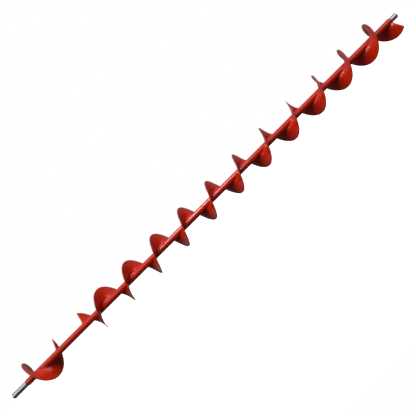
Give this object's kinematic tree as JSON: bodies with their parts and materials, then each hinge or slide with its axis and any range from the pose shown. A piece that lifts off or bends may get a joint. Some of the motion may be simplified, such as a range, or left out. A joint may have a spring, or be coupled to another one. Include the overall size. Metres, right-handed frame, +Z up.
{
  "type": "conveying auger",
  "caption": "Long conveying auger: left-hand flighting and a short right-hand length welded round a tube that turns on two bare stub shafts.",
  "frame": {"origin": "on the auger's axis, midway between the two shaft ends", "axes": "+X along the axis from the long stub shaft's end to the short stub shaft's end; Y and Z square to the axis, with +Z up as the auger lies"},
  "size_m": [2.196, 0.1396, 0.1396],
  "materials": {
    "red_paint": "gloss enamel",
    "painted_weld": "gloss enamel over a rippled weld bead",
    "bright_steel": "bare, turned and polished"
  },
  "bodies": {
    "root": {"centre_tube": "red_paint", "long_stub_shaft": "bright_steel", "long_stub_weld": "painted_weld", "short_stub_shaft": "bright_steel", "short_stub_weld": "painted_weld", "main_flight_01": "red_paint", "main_root_weld_01": "painted_weld", "main_flight_02": "red_paint", "main_root_weld_02": "painted_weld", "main_flight_03": "red_paint", "main_root_weld_03": "painted_weld", "main_flight_04": "red_paint", "main_root_weld_04": "painted_weld", "main_flight_05": "red_paint", "main_root_weld_05": "painted_weld", "main_flight_06": "red_paint", "main_root_weld_06": "painted_weld", "main_flight_07": "red_paint", "main_root_weld_07": "painted_weld", "main_flight_08": "red_paint", "main_root_weld_08": "painted_weld", "main_flight_09": "red_paint", "main_root_weld_09": "painted_weld", "main_flight_10": "red_paint", "main_root_weld_10": "painted_weld", "main_flight_11": "red_paint", "main_root_weld_11": "painted_weld", "main_flight_12": "red_paint", "main_root_weld_12": "painted_weld", "main_butt_weld_01": "painted_weld", "main_butt_weld_02": "painted_weld", "main_butt_weld_03": "painted_weld", "main_butt_weld_04": "painted_weld", "main_butt_weld_05": "painted_weld", "main_butt_weld_06": "painted_weld", "main_butt_weld_07": "painted_weld", "main_butt_weld_08": "painted_weld", "main_butt_weld_09": "painted_weld", "main_butt_weld_10": "painted_weld", "main_butt_weld_11": "painted_weld", "reverse_flight": "red_paint", "reverse_root_weld": "painted_weld"}
  },
  "joints": []
}
